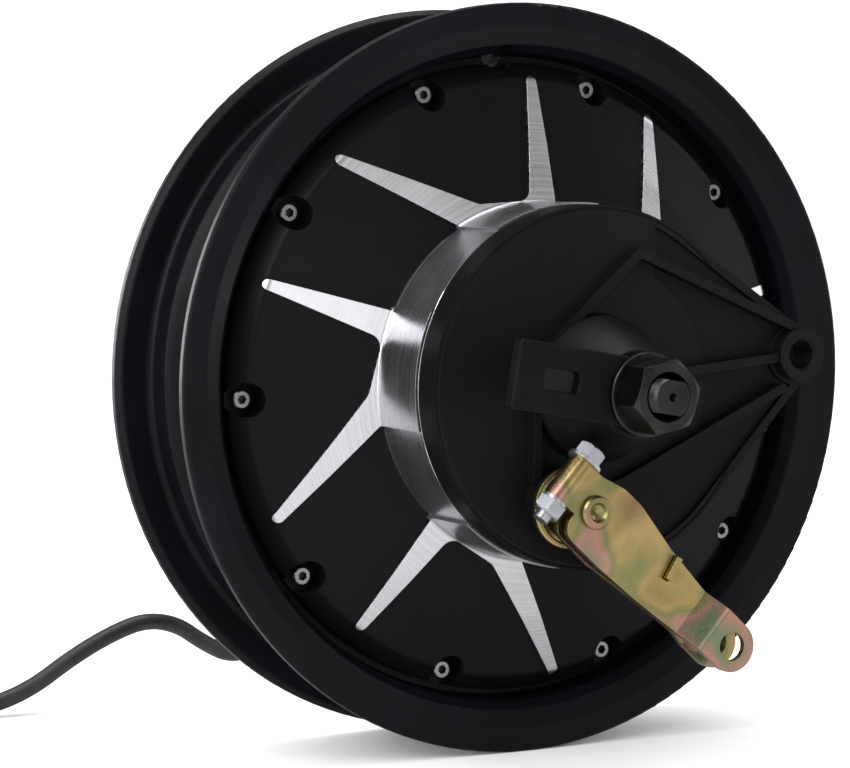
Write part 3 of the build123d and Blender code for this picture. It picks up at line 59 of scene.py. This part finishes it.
# Motor lead: the same route as its solids, in millimetres
CORD_DIAMETER = 6.8 * MM
LEAD_POINTS = [
    (0.0, 126.0, 0.0), (0.0, 144.0, 0.0), (-0.5, 159.0, -10.0), (-1.0, 168.0, -26.0),
    (-1.5, 172.0, -45.0), (-1.0, 172.0, -67.0), (-3.0, 168.0, -88.0), (-10.0, 160.0, -107.0),
    (-24.0, 150.0, -122.5), (-43.0, 141.0, -126.5), (-60.0, 134.5, -118.0), (-73.0, 131.0, -109.0),
    (-88.0, 129.5, -106.0), (-104.0, 129.0, -111.0), (-121.0, 129.0, -119.5), (-138.0, 129.0, -130.5),
    (-156.0, 129.5, -136.5), (-172.0, 130.5, -137.1),
]
TAIL_POINTS = [
    (-224.0, 178.0, -123.0), (-224.0, 190.0, -123.6), (-223.4, 206.0, -128.0), (-222.8, 222.0, -132.6),
    (-222.4, 238.0, -132.6),
]
COIL_CENTRE = (-186.0, 169.0)
COIL_RADIUS = 38.2
COIL_REST_Z = -136.6
COIL_STEP_Z = 6.9
COIL_FIRST_ANGLE = -90.0
COIL_SWEEP = 810.0
COIL_POINT_EVERY = 15.0
COIL_CLIMBS = ((265.0, 325.0), (625.0, 685.0))
CORD_ROUNDNESS = 6
CORD_STEPS = 8
CORD_SPLINE_ORDER = 3

# Section of the front cover's black surface in millimetres, as (radius, depth towards the
# brake side). Faces that stand proud of it, and the brake drum's side, are machined bright.
DOME_SECTION = ((66.0, 40.0), (90.0, 35.0), (112.5, 29.0), (118.8, 22.0))
RAISED_BY = 0.5
DRUM_INNER_RADIUS = 58.0
DRUM_OUTER_RADIUS = 67.5
DRUM_FOOT_Y = 40.5

# The hexagon sockets of the cover screws, in millimetres and degrees
SCREW_CIRCLE = 113.3
SCREW_COUNT = 10
FIRST_SCREW_ANGLE = 2.0
SOCKET_RADIUS = 1.8
SOCKET_FLOOR_Y = 20.0
SOCKET_MOUTH_Y = 23.4


def make_camera():
    data = bpy.data.cameras.new("camera")
    data.lens = CAMERA_LENS
    data.sensor_width = CAMERA_SENSOR
    camera = bpy.data.objects.new("camera", data)
    bpy.context.collection.objects.link(camera)
    around = math.radians(CAMERA_AZIMUTH)
    above = math.radians(CAMERA_HEIGHT_ANGLE)
    place = CAMERA_DISTANCE * Vector((
        math.sin(around) * math.cos(above), -math.cos(around) * math.cos(above), math.sin(above),
    ))
    aim = (-place).to_track_quat("-Z", "Y").to_matrix()
    turn = Matrix.Rotation(math.radians(CAMERA_TURN_LEFT), 3, "Y")
    tilt = Matrix.Rotation(math.radians(-CAMERA_TURN_DOWN), 3, "X")
    camera.matrix_world = Matrix.Translation(place) @ (aim @ turn @ tilt).to_4x4()
    bpy.context.scene.camera = camera


# ---------------------------------------------------------------- shader helpers

class Shader:
    """A Principled material whose nodes are added one by one."""

    BEVEL_SAMPLES = 4

    def __init__(self, name, **constants):
        self.material = bpy.data.materials.new(name)
        self.material.use_nodes = True
        self.nodes = self.material.node_tree.nodes
        self.links = self.material.node_tree.links
        self.surface = self.nodes["Principled BSDF"]
        self.place = None
        for socket, value in constants.items():
            self.set(socket, value)

    def set(self, socket, value):
        """Give a Principled socket a constant or another node's output."""
        self.feed(self.surface.inputs[socket], value)

    def feed(self, socket, value):
        if isinstance(value, bpy.types.NodeSocket):
            self.links.new(value, socket)
        elif isinstance(value, tuple):
            socket.default_value = (*value, 1.0)
        else:
            socket.default_value = value

    def add(self, kind, *inputs, output=0, **settings):
        """Add a node, set it up and feed its first inputs."""
        node = self.nodes.new(kind)
        for key, value in settings.items():
            setattr(node, key, value)
        for socket, value in zip(node.inputs, inputs):
            self.feed(socket, value)
        return node.outputs[output]

    def calc(self, operation, *values):
        return self.add("ShaderNodeMath", *values, operation=operation)

    def position(self):
        """Position in the part's own frame."""
        if self.place is None:
            self.place = self.add("ShaderNodeTexCoord", output="Object")
        return self.place

    def axes(self):
        """The position's x, y and z."""
        split = self.nodes.new("ShaderNodeSeparateXYZ")
        self.links.new(self.position(), split.inputs[0])
        return tuple(split.outputs)

    def radius(self):
        """Distance from the wheel axis."""
        x, _, z = self.axes()
        return self.calc("SQRT", self.calc("ADD", self.calc("MULTIPLY", x, x), self.calc("MULTIPLY", z, z)))

    def noise(self, scale, detail=4.0, roughness=0.55, vector=None):
        node = self.nodes.new("ShaderNodeTexNoise")
        self.feed(node.inputs["Vector"], vector or self.position())
        node.inputs["Scale"].default_value = scale
        node.inputs["Detail"].default_value = detail
        node.inputs["Roughness"].default_value = roughness
        return node.outputs["Fac"]

    def ramp(self, factor, *stops):
        """Colour ramp; each stop is (position, colour)."""
        node = self.nodes.new("ShaderNodeValToRGB")
        self.links.new(factor, node.inputs[0])
        elements = node.color_ramp.elements
        while len(elements) < len(stops):
            elements.new(0.5)
        for element, (place, colour) in zip(elements, stops):
            element.position = place
            element.color = (*colour, 1.0)
        return node.outputs[0]

    def remap(self, factor, low, high, new_low, new_high):
        """Stretch low..high to new_low..new_high, clamped."""
        return self.add("ShaderNodeMapRange", factor, low, high, new_low, new_high)

    def vary(self, noise, value, less, more):
        """A value that noise moves between value - less and value + more."""
        return self.remap(noise, 0.3, 0.7, value - less, value + more)

    def mix(self, factor, first, second):
        node = self.nodes.new("ShaderNodeMix")
        node.data_type = "RGBA"
        for socket, value in ((node.inputs[0], factor), (node.inputs[6], first), (node.inputs[7], second)):
            self.feed(socket, value)
        return node.outputs[2]

    def mirrored(self):
        """1 where the surface is seen in a reflection, else 0."""
        return self.add("ShaderNodeLightPath", output="Is Glossy Ray")

    def bump(self, height, depth, normal=None):
        """Bump of a depth in metres."""
        node = self.nodes.new("ShaderNodeBump")
        node.inputs["Strength"].default_value = 1.0
        node.inputs["Distance"].default_value = depth
        self.links.new(height, node.inputs["Height"])
        if normal is not None:
            self.links.new(normal, node.inputs["Normal"])
        return node.outputs[0]

    def soft_edges(self, radius):
        """Normal that rounds every edge a little."""
        node = self.nodes.new("ShaderNodeBevel")
        node.samples = self.BEVEL_SAMPLES
        node.inputs["Radius"].default_value = radius
        return node.outputs[0]


# ---------------------------------------------------------------- kinds of surface

def powder_coat(name, colour, painted_sheen, roughness, grain):
    """Satin paint with a faint orange-peel texture, and a lighter, bluer colour in random patches: painted
    sheen.
    """
    shader = Shader(name)
    sheen_patches = shader.noise(14.0, detail=3.0)
    # A lighter, bluer colour mixed in at random patches: painted sheen on the black paint
    shader.set("Base Color", shader.mix(shader.remap(sheen_patches, 0.35, 0.65, 0.0, 1.0), colour, painted_sheen))
    speckle = shader.noise(1600.0, detail=2.0)
    shader.set("Roughness", shader.vary(speckle, roughness, 0.05, 0.07))
    shader.set("Specular IOR Level", 0.11)
    shader.set("Normal", shader.bump(speckle, grain, shader.soft_edges(0.5 * MM)))
    return shader.material


def machined(name, colour, roughness, depth=0.004 * MM):
    """Bright metal with turning lines: noise that changes with radius and y, not round the axis."""
    shader = Shader(name, Metallic=1.0)
    _, y, _ = shader.axes()
    across = shader.add("ShaderNodeCombineXYZ", shader.radius(), y)
    lines = shader.noise(2200.0, detail=3.0, vector=across)
    smudge = shader.noise(35.0, detail=4.0)
    dark = tuple(0.72 * value for value in colour)
    shader.set("Base Color", shader.mix(shader.remap(lines, 0.3, 0.7, 0.0, 1.0), dark, colour))
    uneven = shader.calc("ADD", shader.vary(lines, 0.0, 0.06, 0.06), shader.vary(smudge, 0.0, 0.05, 0.06))
    shader.set("Roughness", shader.calc("ADD", uneven, roughness))
    shader.set("Normal", shader.bump(lines, depth, shader.soft_edges(0.25 * MM)))
    return shader.material


def dull_metal(name, colour, roughness, grain=0.02 * MM):
    """Steel with an even, slightly mottled finish."""
    shader = Shader(name, Metallic=1.0)
    mottle = shader.noise(90.0, detail=5.0)
    lighter = tuple(min(1.0, 1.35 * value + 0.01) for value in colour)
    shader.set("Base Color", shader.mix(shader.remap(mottle, 0.35, 0.7, 0.0, 1.0), colour, lighter))
    grit = shader.noise(900.0, detail=3.0)
    shader.set("Roughness", shader.vary(grit, roughness, 0.06, 0.08))
    shader.set("Normal", shader.bump(grit, grain, shader.soft_edges(0.35 * MM)))
    return shader.material


def iridescent_zinc(name):
    """Yellow zinc plating: gold and olive with pink and green drifts."""
    shader = Shader(name, Metallic=1.0)
    drift = shader.noise(38.0, detail=2.0, roughness=0.4)
    shader.set("Base Color", shader.ramp(
        drift, (0.30, (0.30, 0.21, 0.10)), (0.42, (0.44, 0.32, 0.13)), (0.50, (0.24, 0.24, 0.10)),
        (0.58, (0.48, 0.26, 0.20)), (0.68, (0.21, 0.26, 0.15)),
    ))
    grit = shader.noise(1300.0, detail=2.0)
    shader.set("Roughness", shader.vary(grit, 0.30, 0.06, 0.06))
    shader.set("Normal", shader.bump(grit, 0.006 * MM, shader.soft_edges(0.35 * MM)))
    return shader.material


def rubber(name, colour, roughness, scale=700.0):
    """Rubber, plastic or felt: slightly dusty, with a fine grit."""
    shader = Shader(name)
    dust = shader.noise(60.0, detail=4.0)
    lighter = tuple(1.6 * value + 0.006 for value in colour)
    shader.set("Base Color", shader.mix(shader.remap(dust, 0.4, 0.75, 0.0, 1.0), colour, lighter))
    grit = shader.noise(scale, detail=3.0)
    shader.set("Roughness", shader.vary(grit, roughness, 0.07, 0.07))
    shader.set("Normal", shader.bump(grit, 0.03 * MM))
    return shader.material


def striped(name, dark, light, radial, per_metre, roughness):
    """Wound wire, striped with the radius, or stacked sheets, striped along the axle."""
    shader = Shader(name, Metallic=1.0)
    along = shader.radius() if radial else shader.axes()[1]
    wave = shader.calc("SINE", shader.calc("MULTIPLY", along, per_metre * 2 * math.pi))
    unit = shader.remap(wave, -1.0, 1.0, 0.0, 1.0)
    shader.set("Base Color", shader.mix(unit, dark, light))
    shader.set("Roughness", shader.vary(shader.noise(500.0), roughness, 0.05, 0.1))
    shader.set("Normal", shader.bump(unit, 0.1 * MM))
    return shader.material


def friction_lining(name):
    """Dark brown brake lining with brass flecks."""
    shader = Shader(name)
    flecks = shader.noise(1500.0, detail=6.0, roughness=0.7)
    shader.set("Base Color", shader.ramp(
        flecks, (0.4, (0.07, 0.05, 0.04)), (0.6, (0.2, 0.16, 0.12)), (0.7, (0.5, 0.35, 0.15)),
    ))
    shader.set("Roughness", 0.85)
    shader.set("Normal", shader.bump(flecks, 0.08 * MM))
    return shader.material


# ---------------------------------------------------------------- floor and light

def make_floor():
    bpy.ops.mesh.primitive_plane_add(size=FLOOR_SIZE, location=(0, 0, FLOOR_Z))
    floor = bpy.context.object
    floor.name = "studio_floor"
    shader = Shader("studio_floor", Roughness=0.75)
    haze = shader.noise(0.8, detail=2.0)
    pale = shader.mix(haze, FLOOR_PALE, FLOOR_PALER)
    shader.set("Base Color", shader.mix(shader.mirrored(), pale, MIRRORED_FLOOR))
    floor.data.materials.append(shader.material)


def make_room():
    world = bpy.data.worlds.new("studio")
    bpy.context.scene.world = world
    world.use_nodes = True
    room_nodes = world.node_tree.nodes
    links = world.node_tree.links
    background = room_nodes["Background"]
    background.inputs["Color"].default_value = (1.0, 1.0, 1.0, 1.0)
    strength = room_nodes.new("ShaderNodeMapRange")
    strength.inputs["To Min"].default_value = ROOM_STRENGTH
    strength.inputs["To Max"].default_value = MIRRORED_ROOM
    links.new(room_nodes.new("ShaderNodeLightPath").outputs["Is Glossy Ray"], strength.inputs["Value"])
    links.new(strength.outputs[0], background.inputs["Strength"])


def make_lights():
    for name, (place, size, watts) in LIGHTS.items():
        data = bpy.data.lights.new(name, "AREA")
        data.shape = "RECTANGLE"
        data.size, data.size_y = size
        data.energy = watts
        lamp = bpy.data.objects.new(name, data)
        bpy.context.collection.objects.link(lamp)
        lamp.location = place
        lamp.rotation_euler = (-Vector(place)).to_track_quat("-Z", "Y").to_euler()


# ---------------------------------------------------------------- motor lead

def coil_points():
    """Turns of the coil, layer on layer, clockwise from above."""
    points = []
    angle = COIL_POINT_EVERY / 2
    while angle < COIL_SWEEP:
        z = COIL_REST_Z
        for start, end in COIL_CLIMBS:
            z += COIL_STEP_Z * min(max((angle - start) / (end - start), 0.0), 1.0)
        around = math.radians(COIL_FIRST_ANGLE - angle)
        x = COIL_CENTRE[0] + COIL_RADIUS * math.cos(around)
        points.append((x, COIL_CENTRE[1] + COIL_RADIUS * math.sin(around), z))
        angle += COIL_POINT_EVERY
    return points


def make_lead(black_rubber):
    curve = bpy.data.curves.new("motor_lead", "CURVE")
    curve.dimensions = "3D"
    curve.bevel_depth = CORD_DIAMETER / 2
    curve.bevel_resolution = CORD_ROUNDNESS
    curve.resolution_u = CORD_STEPS
    curve.use_fill_caps = True
    route = LEAD_POINTS + coil_points() + TAIL_POINTS
    spline = curve.splines.new("NURBS")
    spline.points.add(len(route) - 1)
    for point, place in zip(spline.points, route):
        point.co = (place[0] * MM, place[1] * MM, place[2] * MM, 1.0)
    spline.order_u = CORD_SPLINE_ORDER
    spline.use_endpoint_u = True
    lead = bpy.data.objects.new("motor_lead", curve)
    bpy.context.collection.objects.link(lead)
    curve.materials.append(black_rubber)
    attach(lead, "stator_axle")
    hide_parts("cable_lead", "cable_coil", "cable_tail")


# ---------------------------------------------------------------- materials on the CAD nodes

def paint(material, *names):
    for name in names:
        slots = nodes[name].data.materials
        slots.clear()
        slots.append(material)


def paint_faces(name, material, wanted):
    """Give the faces of a node that pass a test a second material."""
    mesh = nodes[name].data
    mesh.materials.append(material)
    index = len(mesh.materials) - 1
    for face in mesh.polygons:
        if wanted(face):
            face.material_index = index


def is_machined(face):
    """Faces of the raised spokes and of the brake drum."""
    radius = math.hypot(face.center.x, face.center.z) / MM
    depth = -face.center.y / MM
    if DRUM_INNER_RADIUS < radius < DRUM_OUTER_RADIUS and depth > DRUM_FOOT_Y:
        return True
    for (inner, low), (outer, high) in zip(DOME_SECTION, DOME_SECTION[1:]):
        if inner <= radius < outer:
            base = low + (high - low) * (radius - inner) / (outer - inner)
            slope = abs(high - low) / (outer - inner)
            return (depth - base) / math.hypot(1.0, slope) > RAISED_BY
    return False


def in_socket(face):
    """Faces inside the socket of the nearest cover screw."""
    step = 360.0 / SCREW_COUNT
    angle = math.degrees(math.atan2(face.center.z, face.center.x)) - FIRST_SCREW_ANGLE
    around = math.radians(round(angle / step) * step + FIRST_SCREW_ANGLE)
    off_x = face.center.x / MM - SCREW_CIRCLE * math.cos(around)
    off_z = face.center.z / MM - SCREW_CIRCLE * math.sin(around)
    within = SOCKET_FLOOR_Y < abs(face.center.y) / MM < SOCKET_MOUTH_Y
    return math.hypot(off_x, off_z) < SOCKET_RADIUS and within


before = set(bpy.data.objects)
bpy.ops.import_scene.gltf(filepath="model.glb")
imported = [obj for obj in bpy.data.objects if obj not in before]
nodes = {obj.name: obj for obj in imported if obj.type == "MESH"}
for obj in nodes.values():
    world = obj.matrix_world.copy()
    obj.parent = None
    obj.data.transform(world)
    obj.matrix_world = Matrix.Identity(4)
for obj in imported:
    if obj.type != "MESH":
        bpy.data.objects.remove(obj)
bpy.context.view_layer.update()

make_camera()
black_rubber = rubber("black_rubber", (0.008, 0.008, 0.009), 0.5)
make_lead(black_rubber)
make_floor()
make_room()
make_lights()
bpy.context.scene.view_settings.view_transform = "Standard"

# Paint: colour, painted sheen colour (lighter, in random patches), roughness and depth of the orange peel
satin_black = powder_coat("satin_black", (0.0024, 0.0024, 0.0034), (0.0042, 0.0037, 0.0060), 0.34, 0.006 * MM)
panel_black = powder_coat("panel_black", (0.0022, 0.0022, 0.0030), (0.0038, 0.0035, 0.0050), 0.38, 0.008 * MM)
matte_black = powder_coat("matte_black", (0.0028, 0.0028, 0.0030), (0.0045, 0.0045, 0.0047), 0.46, 0.015 * MM)

# Metal: colour and roughness
bright_cut = machined("bright_cut", (0.78, 0.78, 0.81), 0.30)
turned_steel = machined("turned_steel", (0.62, 0.62, 0.64), 0.26)
polished = machined("polished", (0.78, 0.78, 0.80), 0.12, depth=0.001 * MM)
cast_iron = machined("cast_iron", (0.33, 0.33, 0.34), 0.4)
black_oxide = dull_metal("black_oxide", (0.032, 0.032, 0.035), 0.33)
bright_zinc = dull_metal("bright_zinc", (0.40, 0.41, 0.44), 0.33, grain=0.006 * MM)
stainless = dull_metal("stainless", (0.28, 0.28, 0.28), 0.28, grain=0.006 * MM)
cast_aluminium = dull_metal("cast_aluminium", (0.6, 0.6, 0.61), 0.42, grain=0.05 * MM)
nickel = dull_metal("nickel", (0.58, 0.57, 0.55), 0.22, grain=0.004 * MM)
yellow_zinc = iridescent_zinc("yellow_zinc")
copper = striped("copper", (0.30, 0.09, 0.03), (0.72, 0.30, 0.12), True, per_metre=900.0, roughness=0.3)
laminations = striped(
    "laminations", (0.10, 0.10, 0.12), (0.34, 0.34, 0.37), False, per_metre=1000.0, roughness=0.45,
)

# Plastic, felt and friction material: colour and roughness
black_plastic = rubber("black_plastic", (0.016, 0.016, 0.017), 0.38, scale=1500.0)
lead_jacket = rubber("lead_jacket", (0.5, 0.36, 0.03), 0.45)
felt = rubber("felt", (0.3, 0.3, 0.28), 0.9, scale=2500.0)
board_green = rubber("board_green", (0.01, 0.09, 0.03), 0.35, scale=1800.0)
lining = friction_lining("lining")

paint(satin_black, "rim")
paint(panel_black, "front_cover")
paint(matte_black, "rear_cover", "brake_plate", "torque_bracket")
paint(cast_iron, "brake_drum_liner")
paint(polished, "bearing_front_outer", "bearing_rear_outer", "bearing_front_inner", "bearing_rear_inner")
paint(polished, "bearing_front_balls", "bearing_rear_balls")
paint(turned_steel, "flux_ring", "axle_spacer_front", "axle_spacer_rear", "axle_key", "anchor_pin")
paint(black_oxide, "axle", "axle_washer_front", "axle_nut_front", "axle_washer_rear", "axle_nut_rear")
paint(stainless, "front_cover_screws", "rear_cover_screws")
paint(bright_zinc, "lever_pinch_bolt", "lever_pinch_nut", "lever_lock_washer", "shoe_springs")
paint(yellow_zinc, "brake_lever", "cam_cap", "brake_cam")
paint(cast_aluminium, "stator_carrier", "leading_shoe", "trailing_shoe")
paint(lining, "leading_lining", "trailing_lining")
paint(nickel, "magnets")
paint(laminations, "stator_laminations")
paint(copper, "stator_windings")
paint(board_green, "hall_sensor_board")
paint(lead_jacket, "winding_leads")
paint(felt, "cam_felt")
paint(black_rubber, "front_gasket", "rear_gasket", "shaft_seal_front", "shaft_seal_rear")
paint(black_rubber, "axle_lead", "cable_gland")
paint(black_plastic, "cable_tie", "cable_plug", "plug_collar")

paint_faces("front_cover", bright_cut, is_machined)
# The sockets of the stainless screws get dark black oxide: painted shade inside the sockets
for screws in ("front_cover_screws", "rear_cover_screws"):
    paint_faces(screws, black_oxide, in_socket)
